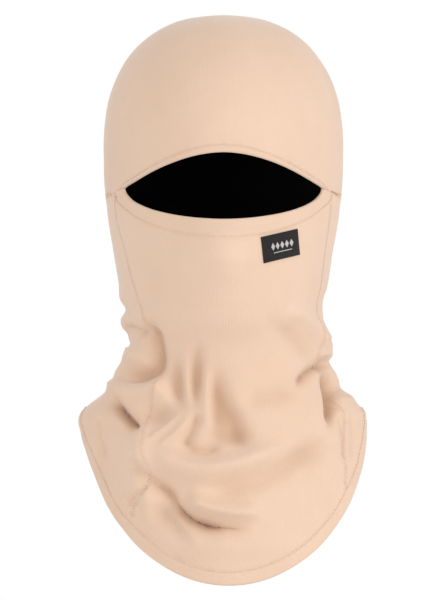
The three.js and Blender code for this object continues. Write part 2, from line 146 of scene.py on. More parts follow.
def unit(vectors):
    return vectors / np.maximum(np.linalg.norm(vectors, axis=-1, keepdims=True), TINY)


# ---- form of the head and bib

half_width = profile(
    (EQUATOR_Z, HOOD_HALF_WIDTH), (-115, 81.2), (-137, 78.6), (-157, 75.2), (-178, 71.8),
    (-194, 68.8), (-206, 68.8), (-218, 69.4), (-236, 73.4), (-248, 78.8), (-256, 85.8),
    (-264, 93.2), (-272, 97.7), (-281, SHOULDER_HALF_WIDTH), (-295, SHOULDER_HALF_WIDTH),
    (-400, SHOULDER_HALF_WIDTH))
front_depth = profile(
    (EQUATOR_Z, FOREHEAD_DEPTH), (-115, 97), (-137, 98), (-157, 100), (-178, 99), (-194, 97),
    (-206, 92), (-220, 83), (-238, 77), (-252, 77), (-270, 81), (-300, 87), (-340, 93), (-400, 97))
back_depth = profile(
    (EQUATOR_Z, OCCIPUT_DEPTH), (-115, 95), (-140, 89), (-165, 79), (-190, 69), (-215, 62),
    (-238, 61), (-252, 64), (-270, 73), (-300, 83), (-350, 90), (-400, 91))
nose_height = profile(
    (EQUATOR_Z, 0), (-115, 0), (-137, 5), (-152, 11), (-162, 12), (-172, 8), (-186, 2), (-196, 0))
centre_shift = profile(
    (EQUATOR_Z, -0.1), (-180, -0.1), (-215, 0), (-255, 0.6), (-273, -0.2), (-300, 1.7), (-320, 2.7),
    (-345, 3.4), (-400, 3.4))
NOSE_HALF_WIDTH = 26.0

# How far the slack at the neck stands out of the plain form on each side.
right_side_slack = profile(
    (-180, 0), (-191, 1.2), (-197.5, -1.8), (-204.5, 1.6), (-210, 0.2), (-214, -3.6), (-219, -8.4),
    (-225, -10.4), (-232, -4.6), (-239, 0.2), (-246, -1.6), (-252, -3), (-258, -0.8), (-267, 1.2),
    (-274, 0.6), (-281, 0))
left_side_slack = profile(
    (-183, 0), (-191, -0.8), (-198, -0.6), (-204, -0.2), (-211, 2), (-218, 3.4), (-225, 3.9),
    (-229, 3.4), (-232.5, 0.4), (-236.5, 0.8), (-241, 1.6), (-246, 0.8), (-252, -2), (-256.5, 1.4),
    (-261, 0.4), (-266, 1.4), (-272, 0))
SLACK_SPREAD = math.radians(24)


def ring_point(angle, z):
    """Point of the plain form at an angle from straight ahead, in radians."""
    ahead = np.cos(angle)
    depth = np.where(ahead > 0, front_depth(z), back_depth(z))
    return np.stack([half_width(z) * np.sin(angle), -depth * ahead, z + 0 * ahead], -1)


def ring_angle(point):
    x, y, z = np.moveaxis(point, -1, 0)
    depth = np.where(y < 0, front_depth(z), back_depth(z))
    return np.arctan2(x / half_width(z), -y / depth)


def cap_point(direction):
    x, y, z = np.moveaxis(direction, -1, 0)
    depth = np.where(y < 0, FOREHEAD_DEPTH, OCCIPUT_DEPTH)
    level = np.hypot(x / HOOD_HALF_WIDTH, y / depth)
    rise = np.maximum(z, 0) / (CROWN_TOP - EQUATOR_Z)
    reach = (level**CROWN_SQUARENESS + rise**CROWN_SQUARENESS) ** (1 / CROWN_SQUARENESS)
    reach = np.maximum(reach, TINY)
    return np.stack([x / reach, y / reach, EQUATOR_Z + z / reach], -1)


def smooth_skin(layout):
    """Carries layout points to the smooth surface of the garment."""
    layout = np.asarray(layout, float)
    z = layout[..., 2]
    angle = ring_angle(layout)
    ring = ring_point(angle, np.minimum(z, EQUATOR_Z))
    nose = nose_height(z) * np.exp(-((ring[..., 0] / NOSE_HALF_WIDTH) ** 2))
    ring[..., 1] -= np.where(ring[..., 1] < 0, nose, 0)
    beside = np.exp(-(((np.abs(angle) - math.pi / 2) / SLACK_SPREAD) ** 2))
    slack = np.where(angle < 0, right_side_slack(z), left_side_slack(z))
    ring[..., 0] += np.sign(angle) * slack * beside
    cap = cap_point(layout - np.array([0, 0, EQUATOR_Z]))
    point = np.where((z > EQUATOR_Z)[..., None], cap, ring)
    point[..., 0] += centre_shift(z)
    return point


# Above this rise a ray is steep, and the two directions are built from Y instead of Z.
STEEP_RISE = 0.9
NORMAL_STEP = 0.6


def tangents(layout):
    """Two directions along the surface, seen from the middle of the head."""
    ray = layout.copy()
    ray[..., 2] = np.maximum(ray[..., 2] - EQUATOR_Z, 0)
    ray = unit(ray)
    steep = np.abs(ray[..., 2:3]) > STEEP_RISE
    upright = np.where(steep, np.array([0.0, 1.0, 0.0]), np.array([0.0, 0.0, 1.0]))
    across = unit(np.cross(upright, ray))
    return across, np.cross(ray, across)


def normals_of(carry, layout):
    """Outward normals of a surface, from a step to either side of each layout point."""
    across, upward = (direction * NORMAL_STEP for direction in tangents(layout))
    return unit(np.cross(carry(layout + across) - carry(layout - across),
                         carry(layout + upward) - carry(layout - upward)))


# ---- folds

# The section of a fold is exp(-offset ** power), with offset in widths from its line.
ROUND_POWER = 2.0
SHARP_POWER = 1.2
# How many widths from its line a fold is worked out.
FOLD_REACH = 3


def fold(points, height, left, right, sharp=1.0, sag=0.0, ends=0.22):
    """A ridge (height above 0) or a crease (below 0) along a line.

    left and right are its widths on either side, looking along the line with the second
    coordinate up. sharp runs from 0, a rounded section, to 1, a sharp one. sag carries
    the fabric on the left side over towards the line. ends is the share of the line over
    which the fold fades at each end.
    """
    line = catmull(points, FOLD_STEPS)
    step = np.gradient(line, axis=0)
    spacing = np.linalg.norm(step, axis=1)
    along = step / spacing[:, None]
    return {"line": line, "spacing": spacing, "along": along,
            "aside": np.stack([-along[:, 1], along[:, 0]], -1),
            "height": height, "left": left, "right": right, "sag": sag, "ends": ends,
            "power": ROUND_POWER - (ROUND_POWER - SHARP_POWER) * sharp}


def swell(centre, radii, height):
    return {"centre": centre, "radii": radii, "height": height}


def apply_folds(a, b, folds):
    """Rise of the surface and sideways shift, at chart coordinates a across and b up."""
    rise = np.zeros_like(a)
    shift = np.zeros((*a.shape, 2))
    for item in folds:
        if "centre" in item:
            (ca, cb), (ra, rb) = item["centre"], item["radii"]
            rise += item["height"] * np.exp(-(((a - ca) / ra) ** 2) - (((b - cb) / rb) ** 2))
            continue
        line, reach = item["line"], FOLD_REACH * max(item["left"], item["right"])
        low, high = line.min(0) - reach, line.max(0) + reach
        near = (a > low[0]) & (a < high[0]) & (b > low[1]) & (b < high[1])
        if not near.any():
            continue
        point = np.stack([a[near], b[near]], -1)
        closest = ((point[:, None, :] - line[None]) ** 2).sum(-1).argmin(1)
        from_line = point - line[closest]
        offset = (from_line * item["aside"][closest]).sum(-1)
        past = (from_line * item["along"][closest]).sum(-1) / item["spacing"][closest]
        travel = np.clip((closest + past) / (len(line) - 1), 0, 1)
        taper = smoothstep(0, item["ends"], travel) * smoothstep(0, item["ends"], 1 - travel)
        width = np.where(offset > 0, item["left"], item["right"])
        section = np.exp(-np.abs(offset / width) ** item["power"])
        strength = taper * section
        rise[near] += item["height"] * strength
        if item["sag"]:
            over = np.where(offset > 0, strength, 0) * item["sag"]
            shift[near] -= item["aside"][closest] * over[:, None]
    return rise, shift


# Folds of the front, in x and z as seen from straight ahead.
FRONT_FOLDS = [
    # slack of the wearer's right cheek and the pocket under it
    fold([(-55, -203), (-50.5, -211.5), (-46.5, -221), (-45, -231), (-47, -238.5), (-54, -243),
          (-63, -245), (-75, -247)], -8.5, 5, 5, sharp=0.4),
    fold([(-68, -208), (-61, -211), (-53, -216)], -4, 2.8, 3.2, sharp=0.6),
    swell((-60, -228), (11, 9), 6.5),
    fold([(-84, -250), (-64, -252), (-50, -251.5), (-36, -245)], 7.5, 7, 8, sharp=0),
    fold([(-77.5, -253), (-72.5, -260.5), (-68, -268), (-63.2, -274.5), (-55, -280)], -12, 2.7, 4.2,
         sharp=0.9, ends=0.26),
    swell((-46, -268), (14, 9), -6),
    fold([(-53, -286), (-42, -278.5), (-28, -265)], 2.8, 2.2, 2.2, ends=0.35),
    fold([(-45, -290), (-34, -282), (-20, -267)], 2.6, 2.4, 2.4, ends=0.35),
    # pleats at the middle of the throat
    fold([(-31, -224), (-32, -240), (-31, -254), (-25, -268)], -4.6, 3.4, 5.4, sharp=0.3, ends=0.42),
    fold([(-24.5, -226), (-25.5, -246), (-22, -266)], 2, 3, 3, sharp=0.2, ends=0.42),
    fold([(-16.5, -214), (-17.5, -234), (-18.5, -250), (-20, -270)], -5, 3.2, 5.4, sharp=0.3, ends=0.42),
    swell((-24, -249), (18, 14), -2.6),
    fold([(-11, -224), (-11, -250), (-10, -268), (-9.5, -284)], 2.6, 4, 4, sharp=0.1, ends=0.42),
    fold([(-7, -232), (-6, -248), (-5, -262), (-4.5, -276), (-6, -291)], -7.6, 8, 4.2, sharp=0.3,
         ends=0.4),
    fold([(-2, -250), (6, -270), (11, -283), (20, -295)], -6.6, 8, 7, sharp=0.1, ends=0.36),
    swell((1, -283), (13, 7), -4.6),
    fold([(-28, -291), (-23, -280), (-16, -266)], -4.6, 3.4, 4.2, sharp=0.6),
    fold([(-34, -287), (-21, -294), (-10, -293), (-1, -286)], -5.6, 4.6, 4.6, sharp=0.4, ends=0.3),
    # broad roll across the chest, and the shadow under it
    fold([(-64, -286), (-44, -296.5), (-22, -304), (2, -304), (28, -296), (52, -286)], 9.5, 7.5, 10.5,
         sharp=0, ends=0.3),
    fold([(-64, -297), (-54, -306), (-46, -314), (-38, -320), (-29, -329)], -6.6, 3.2, 4.8, sharp=0.6),
    fold([(-32, -327), (4, -317.5), (28, -308), (60, -293), (80, -284)], -6.2, 8, 10, sharp=0.1,
         ends=0.3),
    # far side of the bib, turned away from the front
    fold([(-60, -268), (-55, -296), (-51, -320), (-54, -350)], 8.5, 7, 21, sharp=0, ends=0.35),
    swell((-76, -300), (13, 22), -4),
    # lip that hangs over the low crease
    fold([(-28, -324), (-10, -331.5), (8, -335), (30, -335.5)], 8.5, 8, 5, sharp=0.2),
    fold([(-37, -320), (-30.5, -330), (-21, -338.3), (-8, -342.3), (4, -344.3)], -9.8, 2.8, 6.5,
         sag=1.6, ends=0.36),
    fold([(-24, -337), (-8, -342.3), (7, -345), (22, -346.5)], -4.8, 1.9, 4, sharp=0.8, sag=1.2,
         ends=0.4),
    fold([(-48, -315), (-56, -323), (-65, -332)], -4, 2.6, 3.2),
    fold([(-50, -328), (-36, -340), (-20, -358)], -3.6, 6, 7, sharp=0.1, ends=0.38),
    fold([(-36, -331), (-26, -345), (-12, -358)], 2.4, 4, 4, sharp=0.2, ends=0.35),
    swell((0, -357), (48, 8), 2.4),
    # wearer's left side
    fold([(20, -199), (43, -213), (58, -226), (70, -235)], -4.2, 7, 8, sharp=0.1, ends=0.38),
    fold([(44, -194), (60, -208), (73, -224)], 5, 5.5, 5.5, sharp=0),
    fold([(75, -233), (66, -235.5), (58, -240.5), (48, -250)], -7, 3, 3.2, sharp=0.8),
    fold([(71, -234), (73, -248), (74.5, -262), (73.5, -284)], -10, 3.8, 4.4, sharp=0.5, ends=0.3),
    fold([(8, -259), (32, -255.5), (56, -248)], -4, 6.5, 6.5, sharp=0.2, ends=0.35),
    fold([(79, -266), (82, -284), (83, -304)], -2.8, 3.4, 3.4),
    fold([(87, -266), (89, -283), (88, -300)], -2.6, 2.8, 2.8),
    fold([(-88, -268), (-86, -284), (-82, -302)], -2.6, 3, 3),
    fold([(50, -306), (66, -318), (74, -334)], -1.8, 8, 8, sharp=0),
]

# Folds of the sides and back, in millimetres round the neck (from straight ahead) and z.
AROUND = 75.0
BACK_FOLDS = [
    fold([(110, -206), (140, -212), (172, -209), (205, -213), (236, -210)], -3.4, 4, 5, sharp=0.5),
    fold([(112, -218), (150, -223), (190, -220), (238, -224)], 3.2, 6, 6, sharp=0),
    fold([(104, -232), (140, -233), (180, -238), (232, -234)], -3.8, 4, 5.5, sharp=0.6),
    fold([(120, -246), (165, -250), (210, -247)], 2.6, 7, 7, sharp=0),
    fold([(-110, -210), (-146, -206), (-184, -211), (-236, -208)], -3.2, 4, 5, sharp=0.5),
    fold([(-106, -222), (-150, -219), (-196, -225), (-238, -221)], 3, 6, 6, sharp=0),
    fold([(-102, -236), (-142, -239), (-186, -233), (-236, -237)], -3.6, 4, 5, sharp=0.6),
    fold([(-118, -250), (-160, -247), (-206, -252)], 2.4, 7, 7, sharp=0),
    fold([(150, -268), (154, -290), (150, -312)], -2.2, 6, 6, sharp=0.2),
    fold([(186, -262), (193, -288), (190, -318)], 2, 8, 8, sharp=0),
    fold([(-152, -266), (-158, -292), (-155, -316)], -2.4, 6, 6, sharp=0.2),
    fold([(-196, -264), (-200, -286), (-194, -312)], 2, 8, 8, sharp=0),
]


COARSE_RIPPLE = 0.16
FINE_RIPPLE = 0.10


def ripples(point):
    """Faint unevenness of stretched fabric, from waves of a few radians a centimetre."""
    x, y, z = np.moveaxis(point, -1, 0)
    return (COARSE_RIPPLE * np.sin(0.11 * x + 0.05 * z + 1.0) * np.sin(0.09 * z - 0.04 * y)
            + FINE_RIPPLE * np.sin(0.23 * x - 0.12 * z + 2.1) * np.cos(0.17 * y + 0.1 * z))


# Cosine of the angle from straight ahead at which the front's folds have full strength.
FRONT_COSINE = 0.22


def fold_rise(layout):
    """Plain point and normal, with the rise and sideways shift that the folds give it."""
    layout = np.asarray(layout, float)
    point = smooth_skin(layout)
    normal = normals_of(smooth_skin, layout)
    angle = ring_angle(layout)
    facing = smoothstep(0.0, FRONT_COSINE, np.cos(angle))
    x, z = point[..., 0], layout[..., 2]
    rise, shift = apply_folds(x, z, FRONT_FOLDS)
    round_rise, _ = apply_folds(angle * AROUND, z, BACK_FOLDS)
    round_rise += apply_folds(angle * AROUND - np.sign(angle) * 2 * math.pi * AROUND, z, BACK_FOLDS)[0]
    total = rise * facing + round_rise * (1 - facing)
    return point, normal, total, shift * facing[..., None]


def surface(layout):
    """Carries layout points to the finished surface, folds included."""
    point, normal, rise, shift = fold_rise(layout)
    moved = point + normal * (rise + ripples(point))[..., None]
    moved[..., 0] += shift[..., 0]
    moved[..., 2] += shift[..., 1]
    return moved


def surface_at(layout):
    """Points of the finished surface, and its normals."""
    return surface(layout), normals_of(surface, layout)


# ---- layout of the pieces

def chart(angle, z):
    return ring_point(np.radians(angle), np.asarray(z, float) + 0 * np.asarray(angle, float))


def facing_point(x, z):
    """Layout point seen from straight ahead at x and z."""
    x, z = np.broadcast_arrays(np.asarray(x, float), np.asarray(z, float))
    below = ring_point(np.arcsin(np.clip(x / half_width(z), -1, 1)), z)
    rise = np.clip((z - EQUATOR_Z) / (CROWN_TOP - EQUATOR_Z), 0, 1)
    level = (1 - rise**CROWN_SQUARENESS) ** (1 / CROWN_SQUARENESS)
    ahead = np.sqrt(np.maximum(level**2 - (x / HOOD_HALF_WIDTH) ** 2, 0))
    above = np.stack([x, -FOREHEAD_DEPTH * ahead, z], -1)
    return np.where((z > EQUATOR_Z)[..., None], above, below)


def coons(bottom, top, left, right):
    """Patch between four edge curves, each a function from 0..1 to points."""
    def place(u, v):
        zero, one = np.zeros_like(u), np.ones_like(u)
        cu, cv = u[..., None], v[..., None]
        point = bottom(u) * (1 - cv) + top(u) * cv + left(v) * (1 - cu) + right(v) * cu
        point -= bottom(zero) * (1 - cu) * (1 - cv) + bottom(one) * cu * (1 - cv)
        point -= top(zero) * (1 - cu) * cv + top(one) * cu * cv
        return point
    return place


def chart_patch(*edges):
    """Patch between four edges that are lines of (angle, z) pairs."""
    pairs_at = coons(*edges)

    def place(u, v):
        pairs = pairs_at(u, v)
        return chart(pairs[..., 0], pairs[..., 1])
    return place


def blend_ends(line, start, end, power=8):
    """The same line, drawn to given end points over its last stretch."""
    def evaluate(s):
        s = np.asarray(s, float)
        pull = np.abs(2 * s - 1)[..., None] ** power
        goal = np.where((s < 0.5)[..., None], start, end)
        return line(s) * (1 - pull) + goal * pull
    return evaluate


NAPE_Z = -127.0
temple_seam_z = profile(
    (0, CORNER_Z), (50, CORNER_Z), (56.9, CORNER_Z), (61, -116.3), (65.7, -117.7), (71, -118.7),
    (80, -119.6), (EAR_ANGLE, -121.5), (180, NAPE_Z))
# Gap between the seam at the corners of the eye opening and the hem on either side of it.
CORNER_GAP = 0.15


def corner_z(x):
    """Height of the seam that both hems of the eye opening end on, straight ahead of x."""
    return temple_seam_z(np.degrees(np.arcsin(np.abs(x) / half_width(CORNER_Z))))


def mask_line(s, outward):
    turn = np.pi * np.asarray(s, float)
    half_span = CORNER_X + MASK_HEM_END_WIDTH * outward / MASK_HEM_WIDTH
    drop = (MASK_DROP + outward) * np.sin(turn)
    x = -half_span * np.cos(turn)
    return facing_point(x, corner_z(x) - CORNER_GAP - drop)


def brow_line(s, outward):
    half_span = CORNER_X + BROW_HEM_END_WIDTH * outward / BROW_HEM_WIDTH
    x = half_span * (2 * np.asarray(s, float) - 1)
    rise = (BROW_RISE + outward) * (1 - np.abs(x / half_span) ** BROW_POWER)
    return facing_point(x, corner_z(x) + CORNER_GAP + rise)


right_cheek_angle = profile(
    (-117.7, MASK_END_ANGLE), (-134, 67.6), (-157, 62.5), (-180, 58.4), (-205, 51), (-221, 42.5),
    (-231, 38.5), (-245, 35), (-285, 33), (-318, 32), (-330, 38), (-352, 44))
left_cheek_angle = profile(
    (-117.7, MASK_END_ANGLE), (-145, 66.5), (-185, 68.5), (-225, 66), (-260, 60), (-300, 56),
    (-330, 54))
# Each cheek seam: its angle at each height, and the angle at which it ends on the bib's hem.
# Side -1 is the wearer's right, and 1 the left.
CHEEKS = {-1: {"angle": right_cheek_angle, "foot": 43.0}, 1: {"angle": left_cheek_angle, "foot": 54.0}}


def soft_cosine(angle):
    value = np.cos(np.radians(angle))
    peak = math.hypot(1, HEM_PEAK_ROUNDING) - HEM_PEAK_ROUNDING
    return (np.hypot(value, HEM_PEAK_ROUNDING) - HEM_PEAK_ROUNDING) / peak


def bottom_edge_z(angle):
    drop = np.where(np.cos(np.radians(angle)) > 0, HEM_FRONT_DROP, HEM_BACK_DROP)
    return HEM_SIDE_Z - drop * soft_cosine(angle)


def inside_bottom_edge(angle, distance):
    angle = np.asarray(angle, float)
    run = chart(angle + 1, bottom_edge_z(angle + 1)) - chart(angle - 1, bottom_edge_z(angle - 1))
    slope = np.abs(run[..., 2]) / np.hypot(run[..., 0], run[..., 1])
    return bottom_edge_z(angle) + distance * np.hypot(1, slope)


EAR_Z = -120.0
# Share of the form's half-width that the seam keeps to at the ear.
EAR_INSET = 0.985
CROWN_SEAM_HALF_WIDTH = 80.0
CROWN_ARCS = (22, 45, 68)


def crown_path():
    rise = CROWN_TOP - EQUATOR_Z
    half = [(float(half_width(EAR_Z)) * EAR_INSET, EAR_Z), (CROWN_SEAM_HALF_WIDTH, EQUATOR_Z)]
    for arc in map(math.radians, CROWN_ARCS):
        half.append((CROWN_SEAM_HALF_WIDTH * math.cos(arc), EQUATOR_Z + rise * math.sin(arc)))
    right_side = [(-x, CROWN_SEAM_Y, z) for x, z in half]
    left_side = [(x, CROWN_SEAM_Y, z) for x, z in reversed(half)]
    return even_path([*right_side, (0, CROWN_SEAM_Y, CROWN_TOP), *left_side])


crown_seam = crown_path()
centre_back_seam = even_path(
    [(0, 90, NAPE_Z), (0, 98, EQUATOR_Z), (0, 78, -30), (0, 46, -5), (0, CROWN_SEAM_Y, CROWN_TOP)])
# Share of the crown seam that runs down to each ear.
EAR_FRACTION = 0.1


def stretch(path, start, end):
    return lambda s: path(lerp(start, end, s))


def ends_of(path):
    return path(np.zeros(1))[0], path(np.ones(1))[0]


def around(start, end, height_at, sign=1):
    """Line of (angle, z) pairs between two angles, at the height that belongs to each."""
    def line(s):
        angle = lerp(start, end, s)
        return np.stack([sign * angle, height_at(angle)], -1)
    return line


def upward(low, high, angle_at):
    """Line of (angle, z) pairs between two heights, at the angle that belongs to each."""
    def line(s):
        z = lerp(low, high, s)
        return np.stack([angle_at(z), z], -1)
    return line


def on_chart(line):
    """The layout points of a line of (angle, z) pairs."""
    def path(s):
        pairs = line(s)
        return chart(pairs[..., 0], pairs[..., 1])
    return path


def temple_line(sign, start, end):
    return on_chart(around(start, end, temple_seam_z, sign))


def hood_front_place():
    def brow(s):
        return brow_line(s, BROW_HEM_WIDTH)

    def side(sign, start, ear):
        first = abs(math.degrees(float(ring_angle(start[None])[0])))
        return blend_ends(temple_line(sign, first, EAR_ANGLE), start, ear)
    starts, ears = ends_of(brow), ends_of(crown_seam)
    return coons(brow, crown_seam, side(-1, starts[0], ears[0]), side(1, starts[1], ears[1]))


def back_patch(sign, patch, bottom, top, side_edge, centre):
    """Patch from a side to the centre back; on the wearer's right it runs the other way."""
    if sign < 0:
        return patch(lambda s: bottom(1 - s), lambda s: top(1 - s), centre, side_edge)
    return patch(bottom, top, side_edge, centre)


def hood_back_place(sign):
    ends = (0.0, EAR_FRACTION) if sign < 0 else (1.0, 1 - EAR_FRACTION)
    ear_edge = stretch(crown_seam, *ends)
    top = stretch(crown_seam, ends[1], 0.5)
    nape, ear = centre_back_seam(np.zeros(1))[0], ear_edge(np.zeros(1))[0]
    bottom = blend_ends(temple_line(sign, EAR_ANGLE, 180), ear, nape)
    return back_patch(sign, coons, bottom, top, ear_edge, centre_back_seam)


def flat_chart(point):
    return np.stack([np.degrees(ring_angle(point)), point[..., 2]], -1)


def gaiter_foot(sign, limit):
    """Angle at which a cheek seam meets the lower edge: the hem, or a lining's at limit."""
    cheek = CHEEKS[sign]
    return cheek["foot"] if limit is None else float(cheek["angle"](limit))


def gaiter_bottom(limit):
    """Height of the lower edge at an angle: the hem's, and never below limit where one is set."""
    def height(angle):
        hem = inside_bottom_edge(angle, BOTTOM_HEM_WIDTH)
        return hem if limit is None else np.maximum(hem, limit)
    return height


def cheek_line(sign, low, high):
    return upward(low, high, lambda z: sign * CHEEKS[sign]["angle"](z))


def cheek_edge(sign, foot, head):
    return blend_ends(cheek_line(sign, foot[1], head[1]), foot, head)


def gaiter_front_place(inset=0.0, limit=None):
    def top(s):
        return flat_chart(mask_line(s, MASK_HEM_WIDTH + inset))

    bottom = around(-gaiter_foot(-1, limit), gaiter_foot(1, limit), gaiter_bottom(limit))
    foot, head = ends_of(bottom), ends_of(top)
    right, left = cheek_edge(-1, foot[0], head[0]), cheek_edge(1, foot[1], head[1])
    return chart_patch(bottom, top, right, left)


def gaiter_back_place(sign, inset=0.0, limit=None):
    bottom = around(gaiter_foot(sign, limit), 180.0, gaiter_bottom(limit), sign)
    top = around(MASK_END_ANGLE, 180.0, lambda angle: temple_seam_z(angle) - inset, sign)
    (foot, low), (head, high) = ends_of(bottom), ends_of(top)
    centre = upward(low[1], high[1], lambda z: sign * 180.0 + 0 * z)
    return back_patch(sign, chart_patch, bottom, top, cheek_edge(sign, foot, head), centre)


# ---- meshes

SHARP_ANGLE = math.radians(62)


def add_object(name, data):
    made = bpy.data.objects.new(name, data)
    bpy.context.scene.collection.objects.link(made)
    return made


def make_object(name, vertices, faces, material, flat):
    """Object from vertices and a flat layout for each of them, both in millimetres."""
    mesh = bpy.data.meshes.new(name)
    mesh.from_pydata((np.asarray(vertices) * MM).tolist(), [], faces)
    mesh.materials.append(material)
    layer = mesh.uv_layers.new(name="Cloth")
    loops = np.empty(len(mesh.loops), int)
    mesh.loops.foreach_get("vertex_index", loops)
    layer.data.foreach_set("uv", np.asarray(flat * MM, np.float32)[loops].ravel())
    mesh.polygons.foreach_set("use_smooth", [True] * len(mesh.polygons))
    mesh.validate()
    mesh.set_sharp_from_angle(angle=SHARP_ANGLE)
    return add_object(name, mesh)


def sheet_mesh(outer, inner):
    """Vertices and faces of a closed sheet between two grids of points."""
    rows, columns = outer.shape[:2]
    index = np.arange(columns * rows).reshape(rows, columns)
    past = columns * rows
    quads = np.stack([index[:-1, :-1], index[:-1, 1:], index[1:, 1:], index[1:, :-1]], -1).reshape(-1, 4)
    loop = np.concatenate([index[0, :-1], index[:-1, -1], index[-1, :0:-1], index[:0:-1, 0]])
    nearby = np.roll(loop, -1)
    walls = np.stack([nearby, loop, loop + past, nearby + past], -1)
    faces = np.concatenate([quads, quads[:, ::-1] + past, walls])
    return np.concatenate([outer.reshape(-1, 3), inner.reshape(-1, 3)]), faces.tolist()


def closed_sheet(name, outer, inner, material, across, up):
    """Object between two grids of points; across and up lay the outer one out flat."""
    flat = np.stack([across, up], -1).reshape(-1, 2)
    return make_object(name, *sheet_mesh(outer, inner), material, np.concatenate([flat, flat]))


def even_grid(columns, rows):
    return np.meshgrid(np.linspace(0, 1, columns), np.linspace(0, 1, rows))


def travelled(points, axis):
    """Distance along a grid's lines from its first row or column."""
    steps = np.linalg.norm(np.diff(points, axis=axis), axis=-1)
    start = np.zeros_like(np.take(steps, [0], axis=axis))
    return np.concatenate([start, np.cumsum(steps, axis=axis)], axis=axis)


EDGE_CROWDING = 0.75


def crowd(count):
    """0..1 in steps that are finer near both ends, where seams and hems are."""
    s = np.linspace(0, 1, count)
    return s - EDGE_CROWDING * np.sin(2 * np.pi * s) / (2 * np.pi)


# Depth at which a crease has its deepest tone: painted shade that darkens the colour down in creases,
# standing for the shadow and bounced light inside them.
CREASE_SHADE_DEPTH = 14.0
SEAM_GROOVE = {"depth": 0.16, "width": 2.2}
HEM_GROOVE = {"depth": 0.22, "width": 1.8}

# Gathers beside a row of stitches: radians a millimetre along each axis, then the share, pace
# and phase of the waves that are added up.
GATHER_X = 1.05
GATHER_Y = 0.9
GATHER_Z = 0.83
GATHER_WAVES = ((1.0, 1.0, 0.0), (0.6, 0.61, 1.3), (0.5, 1.71, 0.4))
GATHER_HEIGHT = 0.08
GATHER_REACH = 4.5


def pucker(point, away):
    """Small gathers that a row of stitches pulls into the fabric beside it."""
    x, y, z = np.moveaxis(point, -1, 0)
    along = GATHER_X * x + GATHER_Z * z + GATHER_Y * y
    wave = sum(share * np.sin(pace * along + phase) for share, pace, phase in GATHER_WAVES)
    return GATHER_HEIGHT * wave * np.exp(-away / GATHER_REACH)


def cloth_panel(name, place, columns, rows, hems, round_neck):
    """Closed panel of fleece; its edges dip into hem grooves where named, or seam grooves.

    The wales run up the panel, or up the neck and bib when round_neck is set.
    """
    u, v = np.meshgrid(crowd(columns), crowd(rows))
    layout = place(u, v)
    outer, normal = surface_at(layout)
    from_left, from_bottom = travelled(outer, 1), travelled(outer, 0)
    away = {"left": from_left, "right": from_left[:, -1:] - from_left,
            "top": from_bottom[-1:] - from_bottom, "bottom": from_bottom}
    dip = np.zeros_like(u)
    for side, distance in away.items():
        groove = HEM_GROOVE if side in hems else SEAM_GROOVE
        dip -= groove["depth"] * np.exp(-((distance / groove["width"]) ** 2))
        dip += pucker(outer, distance)
    outer = outer + normal * dip[..., None]
    inner = outer - normal * SHELL_THICKNESS
    across, up = from_left - from_left[:, -1:] / 2, from_bottom
    if round_neck:
        across, up = ring_angle(layout) * AROUND, layout[..., 2]
    made = closed_sheet(name, outer, inner, fleece, across, up)
    # Painted shade: how deep each point lies in a crease, kept on the mesh so the material can darken the
    # colour there.
    crease_shade = smoothstep(0, CREASE_SHADE_DEPTH, -fold_rise(layout)[2]).ravel()
    shade = made.data.attributes.new("crease_shade", "FLOAT", "POINT")
    shade.data.foreach_set("value", np.concatenate([crease_shade, crease_shade]).astype(np.float32))
    return made


def lining_panel(name, place, columns, rows, tuck):
    """Closed lining that stays inside the deepest crease of the fleece over it."""
    layout = place(*even_grid(columns, rows))
    base = smooth_skin(layout)
    normal = normals_of(smooth_skin, layout)
    rise = ((surface(layout) - base) * normal).sum(-1)
    outer = base + normal * (LINING_OUTER - tuck + np.minimum(rise, 0))[..., None]
    inner = outer + normal * (LINING_INNER - LINING_OUTER)
    return closed_sheet(name, outer, inner, lining, travelled(outer, 1), travelled(outer, 0))


# Face of a turned hem above the fabric, and how much its middle is crowned.
HEM_TOP = 0.35
HEM_CROWN = 0.12
# Climb from the raw edge to the face: distance in from the raw edge, and height.
HEM_CLIMB = ((0.0, -0.3), (0.6, -0.18), (1.3, 0.05), (2.1, 0.9 * HEM_TOP))
HEM_FACE_START = 2.8
# Points along the face for each millimetre of the hem's width, and the fewest.
HEM_FACE_POINTS = 0.9
HEM_LEAST_POINTS = 4
# The flat runs end this many radii from the folded edge, where the turn begins.
HEM_TURN_START = 1.3
HEM_TURN_POINTS = 9
HEM_UNDER_POINTS = 5
# Gathers show on a hem where it is above this depth, on its face.
GATHER_DEPTH = -1


def hem_section(width):
    """Cross-section of a turned hem: (distance from the folded edge, depth) all round."""
    bottom = HEM_TOP - HEM_THICKNESS
    middle = (HEM_TOP + bottom) / 2
    radius = HEM_THICKNESS / 2
    turn_start = radius * HEM_TURN_START
    face_count = max(HEM_LEAST_POINTS, int(width * HEM_FACE_POINTS))
    points = [(width - distance, depth) for distance, depth in HEM_CLIMB]
    for w in np.linspace(width - HEM_FACE_START, turn_start, face_count):
        points.append((w, HEM_TOP + HEM_CROWN * math.sin(math.pi * (w - radius) / width)))
    for turn in map(math.radians, np.linspace(0, 180, HEM_TURN_POINTS)):
        points.append((radius - radius * math.sin(turn), middle + radius * math.cos(turn)))
    points += [(w, bottom) for w in np.linspace(turn_start, width, HEM_UNDER_POINTS)]
    return np.array(points)


